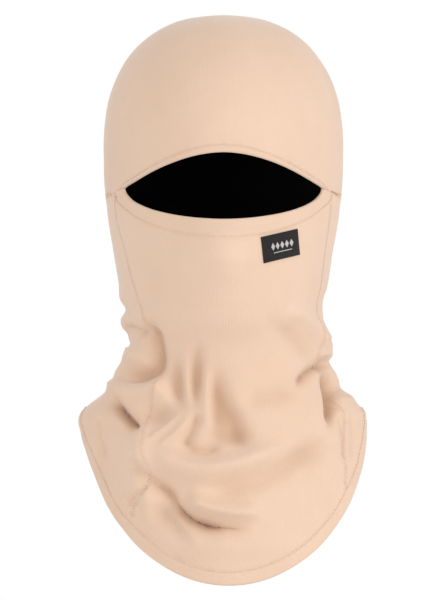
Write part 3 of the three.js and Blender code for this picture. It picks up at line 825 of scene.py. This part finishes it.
def swept_hem(name, line, width, count):
    """Turned hem along line(s, distance from the folded edge)."""
    section = hem_section(width)
    ring = len(section)
    grid_s, grid_k = np.meshgrid(np.linspace(0, 1, count), np.arange(ring), indexing="ij")
    away, depth = section[grid_k, 0], section[grid_k, 1]
    layout = line(grid_s, away)
    base, normal = surface_at(layout)
    gather = pucker(base, np.abs(width - away))
    point = base + normal * (depth + np.where(depth > GATHER_DEPTH, gather, 0))[..., None]
    index = np.arange(count * ring).reshape(count, ring)
    here, after = index[:-1], index[1:]
    quads = np.stack([here, after, np.roll(after, -1, 1), np.roll(here, -1, 1)], -1).reshape(-1, 4)
    faces = [*quads.tolist(), index[0].tolist(), index[-1, ::-1].tolist()]
    flat = np.stack([travelled(point, 0), away], -1).reshape(-1, 2)
    return make_object(name, point.reshape(-1, 3), faces, fleece, flat)


THREAD_SIDES = 6
THREAD_RINGS = 7
# Keeps a stitch's ends from closing to a point, and the exponent that makes them blunt.
THREAD_TIP = 0.06
THREAD_BLUNTNESS = 0.45


def thread_pieces(starts, ends, lift, radius, dive):
    """Short stitches from start to end layout points, as rounded bits of thread.

    Each rises to lift above the fabric at its middle, and ends lower by dive.
    """
    along = np.linspace(0, 1, THREAD_RINGS)
    bulge = np.sin(np.pi * np.clip(along, THREAD_TIP, 1 - THREAD_TIP)) ** THREAD_BLUNTNESS
    arch = lift - dive * (2 * along - 1) ** 4
    layout = starts[:, None] + (ends - starts)[:, None] * along[None, :, None]
    base, normal = surface_at(layout)
    centre = base + normal * arch[None, :, None]
    run = unit(np.gradient(centre, axis=1))
    side = unit(np.cross(run, normal))
    up = np.cross(side, run)
    vertices = []
    for k in range(THREAD_SIDES):
        turn = 2 * math.pi * k / THREAD_SIDES
        offset = side * math.cos(turn) + up * math.sin(turn)
        vertices.append(centre + offset * (radius * bulge)[None, :, None])
    vertices = np.stack(vertices, 2).reshape(-1, 3)
    index = np.arange(len(vertices)).reshape(len(starts), THREAD_RINGS, THREAD_SIDES)
    nearby = np.roll(index, -1, 2)
    quads = np.stack([index[:, :-1], index[:, 1:], nearby[:, 1:], nearby[:, :-1]], -1).reshape(-1, 4)
    return vertices, [*quads.tolist(), *index[:, 0].tolist(), *index[:, -1, ::-1].tolist()]


def thread_object(name, groups, material):
    """One object from groups of vertices and faces."""
    vertices, faces, offset = [], [], 0
    for some_vertices, some_faces in groups:
        vertices.append(some_vertices)
        faces += [[i + offset for i in face] for face in some_faces]
        offset += len(some_vertices)
    vertices = np.concatenate(vertices)
    flat = np.stack([vertices[:, 0] + vertices[:, 1], vertices[:, 2]], -1)
    return make_object(name, vertices, faces, material, flat)


LENGTH_SAMPLES = 200
# Step along a path, as a share of it, that gives its direction.
DIRECTION_STEP = 0.003
# Stitches: pitch, the share of it that shows, and the thread's lift, radius and dive.
HEM_STITCH = {"pitch": 2.5, "fill": 0.72, "lift": 0.3, "radius": 0.3, "dive": 0.45}
SEAM_STITCH = {"pitch": 2.3, "fill": 0.8, "lift": 0.04, "radius": 0.2, "dive": 0.45}
COVER_THREAD = {"lift": 0.04, "radius": 0.11, "dive": 0.06}
SEAM_HALF_WIDTH = 1.7
COVER_INSET = 0.002


def line_length(path):
    points = surface(path(np.linspace(0, 1, LENGTH_SAMPLES)))
    return float(np.linalg.norm(np.diff(points, axis=0), axis=1).sum())


def running_stitches(path, pitch, fill, **shape):
    """A row of straight stitches along a path of layout points."""
    count = max(int(line_length(path) / pitch), 2)
    s = (np.arange(count) + 0.5) / count
    half = 0.5 * fill / count
    return thread_pieces(path(s - half), path(s + half), **shape)


def beside(path, distance):
    """A line of layout points beside another one, at a distance from it."""
    def evaluate(s):
        here = path(s)
        along = path(np.minimum(s + DIRECTION_STEP, 1)) - path(np.maximum(s - DIRECTION_STEP, 0))
        return here + unit(np.cross(normals_of(smooth_skin, here), along)) * distance
    return evaluate


def flatlock(name, path):
    """Two needle rows with thin cover threads laced between them over the joint."""
    sides = [beside(path, distance) for distance in (-SEAM_HALF_WIDTH, SEAM_HALF_WIDTH)]
    rows = [running_stitches(side, **SEAM_STITCH) for side in sides]
    count = int(line_length(path) / SEAM_STITCH["pitch"])
    s = np.linspace(COVER_INSET, 1 - COVER_INSET, count * 2 + 1)
    odd = np.arange(len(s)) % 2 == 1
    points = np.where(odd[:, None], sides[1](s), sides[0](s))
    rows.append(thread_pieces(points[:-1], points[1:], **COVER_THREAD))
    return thread_object(name, rows, thread)


# ---- materials

def put(tree, socket, value):
    """Sets an input to a value, or links it to another node's output."""
    if isinstance(value, bpy.types.NodeSocket):
        tree.links.new(value, socket)
    else:
        socket.default_value = value


def node(tree, kind, inputs=None, **properties):
    """New node; inputs maps the name or number of an input to a value or an output."""
    made = tree.nodes.new(kind)
    for key, value in properties.items():
        setattr(made, key, value)
    for key, value in (inputs or {}).items():
        put(tree, made.inputs[key], value)
    return made


def new_material(name):
    material = bpy.data.materials.new(name)
    material.use_nodes = True
    return material, material.node_tree, material.node_tree.nodes["Principled BSDF"]


CLOUD = {"Scale": 22.0, "Detail": 4.0, "Roughness": 0.55}
FIBRES = {"Scale": 900.0, "Detail": 3.0, "Roughness": 0.7}
WALES = {"Distortion": 1.2, "Detail": 2.0, "Detail Scale": 3.0}
# The wave node turns by this many radians in a unit of length, at a scale of 1.
WAVE_RADIANS = 20
FIBRE_SHADE = 0.45
DARK_STOP = 0.5
LIGHT_STOP = 0.95
BUMP_DISTANCE = 0.0003
SHEEN_ROUGHNESS = 0.45
SPECULAR = 0.25
# Colour sockets of the mix node, which has one set for each type of value.
MIX_A = 6
MIX_B = 7
MIX_RESULT = 2


def knit_material(name, colour, dark, light, roughness, sheen, pitch, fuzz, relief, crease_shade_colour=None):
    """Fine brushed knit: wales by UV, fuzz by noise, and slow changes of shade.

    light tints the sheen, pitch is the width of a wale, fuzz the weight of the fibres in
    the relief, and the last argument the colour of the painted shade at the bottom of a crease.
    """
    material, tree, shader = new_material(name)
    place = node(tree, "ShaderNodeTexCoord").outputs["Object"]
    flat = node(tree, "ShaderNodeUVMap", uv_map="Cloth").outputs["UV"]
    cloud = node(tree, "ShaderNodeTexNoise", {**CLOUD, "Vector": place}).outputs["Fac"]
    fibres = node(tree, "ShaderNodeTexNoise", {**FIBRES, "Vector": place}).outputs["Fac"]
    wale_scale = 2 * math.pi / (WAVE_RADIANS * pitch)
    wales = node(tree, "ShaderNodeTexWave", {**WALES, "Scale": wale_scale, "Vector": flat}).outputs["Fac"]
    mixed = node(tree, "ShaderNodeMath", {0: fibres, 1: FIBRE_SHADE, 2: cloud}, operation="MULTIPLY_ADD")
    ramp = node(tree, "ShaderNodeValToRGB", {"Fac": mixed.outputs[0]})
    for k, (position, tone) in enumerate(((DARK_STOP, dark), (LIGHT_STOP, colour))):
        ramp.color_ramp.elements[k].position = position
        ramp.color_ramp.elements[k].color = (*tone, 1)
    base = ramp.outputs["Color"]
    # Painted shade: the colour is mixed towards a darker tone where the mesh marks a point as deep in a
    # crease.
    if crease_shade_colour is not None:
        crease_shade = node(tree, "ShaderNodeAttribute", attribute_name="crease_shade").outputs["Fac"]
        tones = {0: crease_shade, MIX_A: base, MIX_B: (*crease_shade_colour, 1)}
        base = node(tree, "ShaderNodeMix", tones, data_type="RGBA").outputs[MIX_RESULT]
    height = node(tree, "ShaderNodeMath", {0: fibres, 1: fuzz, 2: wales}, operation="MULTIPLY_ADD")
    bump = node(tree, "ShaderNodeBump", {"Strength": relief, "Distance": BUMP_DISTANCE,
                                         "Height": height.outputs[0]})
    shader.inputs["Base Color"].default_value = (*colour, 1)
    finish = {"Roughness": roughness, "Sheen Weight": sheen, "Sheen Roughness": SHEEN_ROUGHNESS,
              "Sheen Tint": (*light, 1), "Specular IOR Level": SPECULAR, "Base Color": base,
              "Normal": bump.outputs["Normal"]}
    for key, value in finish.items():
        put(tree, shader.inputs[key], value)
    return material


# The fleece's last colour is the painted shade at the bottom of its creases.
fleece = knit_material(
    "fleece", colour=(0.82, 0.605, 0.455), dark=(0.785, 0.565, 0.42), light=(0.97, 0.97, 1.0),
    roughness=0.92, sheen=0.42, pitch=0.0011, fuzz=2.6, relief=0.3, crease_shade_colour=(0.54, 0.325, 0.20))
lining = knit_material(
    "lining", colour=(0.0045, 0.0045, 0.005), dark=(0.003, 0.003, 0.003), light=(0.1, 0.1, 0.1),
    roughness=0.95, sheen=0.0, pitch=0.0007, fuzz=1.0, relief=0.4)
thread = knit_material(
    "thread", colour=(0.86, 0.665, 0.52), dark=(0.82, 0.62, 0.475), light=(0.97, 0.97, 1.0),
    roughness=0.8, sheen=0.4, pitch=0.0003, fuzz=0.5, relief=0.25)
# Darker copy of the tack thread: painted shade for the tack on the wearer's right, on the side away from
# the key lamp.
shaded_tack = knit_material(
    "shaded_tack_thread", colour=(0.24, 0.15, 0.10), dark=(0.15, 0.09, 0.06), light=(0.5, 0.4, 0.35),
    roughness=0.7, sheen=0.1, pitch=0.0003, fuzz=0.5, relief=0.5)
pale_tack = knit_material(
    "pale_tack_thread", colour=(0.50, 0.35, 0.25), dark=(0.42, 0.28, 0.19), light=(0.8, 0.7, 0.6),
    roughness=0.7, sheen=0.1, pitch=0.0003, fuzz=0.5, relief=0.5)
label_black = knit_material(
    "label", colour=(0.022, 0.015, 0.015), dark=(0.009, 0.008, 0.009), light=(0.3, 0.3, 0.3),
    roughness=0.6, sheen=0.15, pitch=0.0004, fuzz=0.6, relief=0.7)
label_white = knit_material(
    "label_motif", colour=(0.78, 0.76, 0.74), dark=(0.6, 0.58, 0.56), light=(1, 1, 1),
    roughness=0.6, sheen=0.1, pitch=0.0004, fuzz=0.6, relief=0.7)
care_tape = knit_material(
    "care_label", colour=(0.78, 0.76, 0.72), dark=(0.7, 0.68, 0.64), light=(1, 1, 1),
    roughness=0.5, sheen=0.1, pitch=0.0004, fuzz=0.4, relief=0.4)


# ---- camera, light and floor

VIEW_CENTRE = (-4.1, -50.0, -190.8)
VIEW_HEIGHT = 408.0
CAMERA_DISTANCE = 8000.0
SENSOR = 36.0
# In metres.
CLIP_END = 100.0


def add_camera():
    data = bpy.data.cameras.new("camera")
    data.sensor_width = SENSOR
    data.lens = SENSOR * CAMERA_DISTANCE / VIEW_HEIGHT
    data.clip_end = CLIP_END
    camera = add_object("camera", data)
    x, y, z = VIEW_CENTRE
    camera.location = (x * MM, (y - CAMERA_DISTANCE) * MM, z * MM)
    camera.rotation_euler = (math.radians(90), 0, 0)
    bpy.context.scene.camera = camera


# Square lamps: place and power. All have one size and face one point.
LAMPS = {"key": ((1.65, -1.05, 0.2), 13),
         "fill": ((-1.0, -1.7, -0.15), 6.5),
         "back": ((-0.3, 2.0, 0.3), 7)}
LAMP_AIM = (0, 0, -0.19)
LAMP_SIZE = 0.8


def add_lamp(name, place, power):
    data = bpy.data.lights.new(name, "AREA")
    data.size = LAMP_SIZE
    data.energy = power
    lamp = add_object(name, data)
    lamp.location = place
    x, y, z = np.array(LAMP_AIM) - np.array(place)
    lamp.rotation_euler = (math.atan2(math.hypot(x, y), -z), 0, math.atan2(y, x) - math.pi / 2)


WORLD_TINT = (1, 0.99, 0.98, 1)
WORLD_STRENGTH = 0.76


def add_world():
    """Soft light from all round, seen by the camera as plain white."""
    world = bpy.data.worlds.new("studio")
    world.use_nodes = True
    bpy.context.scene.world = world
    tree = world.node_tree
    light = tree.nodes["Background"]
    put(tree, light.inputs["Color"], WORLD_TINT)
    put(tree, light.inputs["Strength"], WORLD_STRENGTH)
    seen = node(tree, "ShaderNodeBackground", {"Color": (1, 1, 1, 1), "Strength": 1.0})
    camera_ray = node(tree, "ShaderNodeLightPath").outputs["Is Camera Ray"]
    mix = node(tree, "ShaderNodeMixShader", {0: camera_ray, 1: light.outputs[0], 2: seen.outputs[0]})
    put(tree, tree.nodes["World Output"].inputs["Surface"], mix.outputs[0])


# The floor is whole as far as FLOOR_CLEAR from its middle, and fades out towards its rim.
FLOOR_Z = -0.43
FLOOR_RADIUS = 1.3
FLOOR_CLEAR = 0.5
FLOOR_CORNERS = 96
FLOOR_FINISH = {"Base Color": (0.9, 0.9, 0.9, 1), "Roughness": 0.9}


def floor_material():
    """Pale matt floor that thins out towards its edge."""
    material, tree, shader = new_material("floor")
    for key, value in FLOOR_FINISH.items():
        put(tree, shader.inputs[key], value)
    place = node(tree, "ShaderNodeTexCoord").outputs["Object"]
    distance = node(tree, "ShaderNodeVectorMath", {0: place}, operation="LENGTH").outputs["Value"]
    span = {"Value": distance, "From Min": FLOOR_CLEAR, "From Max": FLOOR_RADIUS}
    fade = node(tree, "ShaderNodeMapRange", span, interpolation_type="SMOOTHSTEP").outputs["Result"]
    clear = node(tree, "ShaderNodeBsdfTransparent").outputs[0]
    mix = node(tree, "ShaderNodeMixShader", {0: fade, 1: shader.outputs[0], 2: clear})
    put(tree, tree.nodes["Material Output"].inputs["Surface"], mix.outputs[0])
    return material


def add_floor():
    turns = np.linspace(0, 2 * math.pi, FLOOR_CORNERS, endpoint=False)
    rim = [(FLOOR_RADIUS * math.cos(t), FLOOR_RADIUS * math.sin(t), 0) for t in turns]
    mesh = bpy.data.meshes.new("floor")
    mesh.from_pydata(rim, [], [list(range(len(rim)))])
    mesh.materials.append(floor_material())
    floor = add_object("floor", mesh)
    floor.location = (0, 0, FLOOR_Z)


add_camera()
add_world()
bpy.context.scene.view_settings.view_transform = "Standard"
for lamp_name, (lamp_place, lamp_power) in LAMPS.items():
    add_lamp(lamp_name, lamp_place, lamp_power)
add_floor()


# ---- pieces

# Directions, in Y and Z, along which the fabric would follow a pulled edge more and more, with
# the distances at which that starts and ends. "facing" is the share of a layer's depth that
# its own bend is moved by. These bends are not applied: bend() only bakes each piece's transform.
MASK_BEND = {"toward": (-0.862, 0.507), "start": -20.0, "end": 12.0, "facing": 0.9}
BROW_BEND = {"toward": (-0.8, -0.6), "start": 100.0, "end": 130.0, "facing": 0.85}


def bend(piece, setting, depth):
    """Bakes a piece's transform; no bend towards a pulled edge is applied, and depth, its layer's (below 0
    inside), is not used.
    """
    def at(distance):
        away = (distance + depth * setting["facing"]) * MM
        return (0, setting["toward"][0] * away, setting["toward"][1] * away)
    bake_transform(piece)


def with_mask(piece, depth=0.0):
    bend(piece, MASK_BEND, depth)


def with_brow(piece, depth=0.0):
    bend(piece, BROW_BEND, depth)


def finish_piece(piece, node_name, carry, depth=0.0):
    carry(piece, depth)
    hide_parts(node_name)


SIDES = {"right": -1, "left": 1}
# How the panels of each half of the garment are carried, laid out and lined.
HOOD = {"carry": with_brow, "round_neck": False, "tuck": 0.0}
GAITER = {"carry": with_mask, "round_neck": True, "tuck": LINING_TUCK}


def add_shell(half, name, place, grid, hems):
    """Fleece panel on a grid of columns and rows; hems names its edges that meet a hem."""
    panel = cloth_panel(name, place, *grid, hems, half["round_neck"])
    finish_piece(panel, f"{name}_panel", half["carry"])


def add_lining(half, name, place, grid):
    inner = lining_panel(f"{name}_cloth", place, *grid, half["tuck"])
    finish_piece(inner, name, half["carry"], LINING_OUTER - half["tuck"])


def build_hood():
    front = hood_front_place()
    add_shell(HOOD, "hood_front", front, grid=(190, 150), hems=["bottom"])
    add_lining(HOOD, "hood_front_lining", front, grid=(70, 50))
    for side, sign in SIDES.items():
        back = hood_back_place(sign)
        add_shell(HOOD, f"hood_back_{side}", back, grid=(95, 120), hems=[])
        add_lining(HOOD, f"hood_back_{side}_lining", back, grid=(40, 45))


def build_gaiter():
    under = {"inset": -LINING_LAP, "limit": LINING_BOTTOM_Z}
    add_shell(GAITER, "gaiter_front", gaiter_front_place(), grid=(165, 270), hems=["top", "bottom"])
    add_lining(GAITER, "face_lining", gaiter_front_place(**under), grid=(60, 40))
    for side, sign in SIDES.items():
        add_shell(GAITER, f"gaiter_back_{side}", gaiter_back_place(sign), grid=(150, 190), hems=["bottom"])
        add_lining(GAITER, f"neck_{side}_lining", gaiter_back_place(sign, **under), grid=(50, 36))


# Rows of coverstitch: their distances in from the raw edge, and the part of the hem they span.
BROW_ROWS = {"inward": (0.9, 3.2), "span": (0.01, 0.99)}
MASK_ROWS = {"inward": (0.9, 3.7), "span": (0.03, 0.97)}
BIB_ROWS = {"inward": (0.9, 3.7), "span": (0, 1)}


def add_hem(edge, tail, line, width, columns, carry, stitched):
    """Turned hem with its rows of coverstitch."""
    band = swept_hem(f"{edge}_hem{tail}_cloth", line, width, columns)
    finish_piece(band, f"{edge}_hem{tail}", carry)
    rows = []
    for inward in stitched["inward"]:
        row = stretch(lambda s, away=width - inward: line(s, away), *stitched["span"])
        rows.append(running_stitches(row, **HEM_STITCH))
    stitches = thread_object(f"{edge}_stitches{tail}", rows, thread)
    finish_piece(stitches, f"{edge}_hem_stitching{tail}", carry)


def half_round(start):
    """Line along the bib's edge, from an angle round to the other side."""
    def line(s, away):
        return on_chart(around(start, start + 180.0, lambda angle: inside_bottom_edge(angle, away)))(s)
    return line


def build_hems():
    add_hem("brow", "", brow_line, BROW_HEM_WIDTH, 220, with_brow, BROW_ROWS)
    add_hem("mask", "", mask_line, MASK_HEM_WIDTH, 240, with_mask, MASK_ROWS)
    for tail, start in (("_front", -90.0), ("_back", 90.0)):
        add_hem("bottom", tail, half_round(start), BOTTOM_HEM_WIDTH, 300, with_mask, BIB_ROWS)


# Where a seam's threads stop short of a hem or of another seam: as gaps, as parts of a path,
# and as angles.
HEM_CLEAR = 1
NAPE_CLEAR = 2
CORNER_CLEAR = 3
CROWN_THREADS = (0.01, 0.99)
HOOD_BACK_THREADS = (0.02, 0.98)
TEMPLE_THREADS = (69.5, 179.3)


def add_seam(name, node_name, path, carry):
    finish_piece(flatlock(f"{name}_threads", path), node_name, carry)


def seam_foot(angle):
    return float(inside_bottom_edge(angle, BOTTOM_HEM_WIDTH + HEM_CLEAR))


def build_seams():
    add_seam("crown_seam", "crown_seam", stretch(crown_seam, *CROWN_THREADS), with_brow)
    hood_back = stretch(centre_back_seam, *HOOD_BACK_THREADS)
    add_seam("hood_back_seam", "hood_centre_back_seam", hood_back, with_brow)
    gaiter_back = upward(seam_foot(180.0), NAPE_Z - NAPE_CLEAR, lambda z: 180.0 + 0 * z)
    add_seam("gaiter_back_seam", "gaiter_centre_back_seam", on_chart(gaiter_back), with_mask)
    for side, sign in SIDES.items():
        temple = temple_line(sign, *TEMPLE_THREADS)
        add_seam(f"temple_seam_{side}", f"temple_seam_{side}", temple, with_mask)
        cheek = cheek_line(sign, seam_foot(CHEEKS[sign]["foot"]), CORNER_Z - CORNER_CLEAR)
        add_seam(f"cheek_seam_{side}", f"cheek_seam_{side}", on_chart(cheek), with_mask)
        tack = bar_tack(f"bar_tack_{side}_threads", **TACKS[sign])
        finish_piece(tack, f"bar_tack_{side}", with_mask)


# Middle of each tack, the way it runs, and the length of one bar, as seen from the front. The tack on the
# wearer's right takes a darker copy of the tack thread, painted shade for the side away from the key lamp.
TACKS = {-1: {"x": -72.3, "z": -118.9, "run": (0.4, 3.4), "bar": (1.5, 0.2), "bars": 8,
              "material": shaded_tack},
         1: {"x": 75.6, "z": -117.9, "run": (4.4, -2.2), "bar": (0.3, 0.8), "bars": 9,
             "material": pale_tack}}
TACK_THREAD = {"lift": 0.25, "radius": 0.2, "dive": 0.3}


def bar_tack(name, x, z, run, bar, bars, material):
    """Dense row of bars that holds the end of the eye opening's seam."""
    s = np.linspace(0, 1, bars)
    x = x + (s - 0.5) * run[0]
    z = z + (s - 0.5) * run[1]
    start = facing_point(x - bar[0] / 2, z - bar[1] / 2)
    end = facing_point(x + bar[0] / 2, z + bar[1] / 2)
    return thread_object(name, [thread_pieces(start, end, **TACK_THREAD)], material)


# The label's middle and size from the front, its tilts in degrees, and how far it is foreshortened.
LABEL = {"x": 38.4, "z": -154.2, "width": 26.0, "height": 17.6, "tilt": 13.0, "side_tilt": 6.0,
         "lean": 0.97}
# The label lies on the cheek, which turns away from the front, so its flat size is larger.
# Underside and face of the label and of the marks on it, above the fabric.
LABEL_UNDERSIDE = 0.1
LABEL_RISE = 0.85
MARK_UNDERSIDE = 0.7
DIAMOND_RISE = 1.02
RULE_RISE = 1.0
MARKS_X = 1.0
DIAMONDS = 5
DIAMOND = {"pitch": 3.3, "across": 0.68, "up": 1.25, "z": 0.6}
RULE = {"length": 13, "height": 0.5, "z": -3.6}


def label_point(along, up):
    """Layout point on the label, in millimetres from its middle."""
    tilt, side_tilt = math.radians(LABEL["tilt"]), math.radians(LABEL["side_tilt"])
    x = LABEL["x"] + along * math.cos(tilt) * LABEL["lean"] - up * math.sin(side_tilt)
    z = LABEL["z"] + along * math.sin(tilt) + up * math.cos(side_tilt)
    return facing_point(x, z)


def raised_patch(outline, low, high, columns, rows):
    """Small closed patch: outline(u, v) gives millimetres from the label's middle."""
    layout = label_point(*outline(*even_grid(columns, rows)))
    base, normal = surface_at(layout)
    return sheet_mesh(base + normal * high, base + normal * low)


def diamond(centre):
    def outline(u, v):
        a, b = 2 * u - 1, 2 * v - 1
        return centre + (a + b) * DIAMOND["across"], DIAMOND["z"] + (b - a) * DIAMOND["up"]
    return outline


def rule_outline(u, v):
    return MARKS_X + (u - 0.5) * RULE["length"], RULE["z"] + (v - 0.5) * RULE["height"]


def build_label():
    def outline(u, v):
        return (u - 0.5) * LABEL["width"], (v - 0.5) * LABEL["height"]
    cloth = raised_patch(outline, LABEL_UNDERSIDE, LABEL_RISE, columns=40, rows=28)
    patch = thread_object("woven_label_cloth", [cloth], label_black)
    finish_piece(patch, "woven_label", with_mask, LABEL_RISE)
    marks = []
    for k in range(DIAMONDS):
        centre = MARKS_X + (k - DIAMONDS // 2) * DIAMOND["pitch"]
        marks.append(raised_patch(diamond(centre), MARK_UNDERSIDE, DIAMOND_RISE, columns=5, rows=5))
    marks.append(raised_patch(rule_outline, MARK_UNDERSIDE, RULE_RISE, columns=12, rows=3))
    motif = thread_object("label_motif", marks, label_white)
    with_mask(motif, LABEL_RISE)


# Care label inside the nape: degrees round the neck, height, middle, grid, and how deep its
# two faces lie.
CARE_LABEL = {"degrees": 20, "height": 38, "z": -187, "grid": (20, 24), "depths": (4.2, 4.6)}


def build_care_label():
    u, v = even_grid(*CARE_LABEL["grid"])
    angle = 180 + (u - 0.5) * CARE_LABEL["degrees"]
    layout = chart(angle, CARE_LABEL["z"] + (v - 0.5) * CARE_LABEL["height"])
    base, normal = surface_at(layout)
    outer, inner = (base - normal * depth for depth in CARE_LABEL["depths"])
    across, up = travelled(outer, 1), travelled(outer, 0)
    tape = closed_sheet("care_label_tape", outer, inner, care_tape, across, up)
    finish_piece(tape, "care_label", with_mask)


build_hood()
build_gaiter()
build_hems()
build_seams()
build_label()
build_care_label()
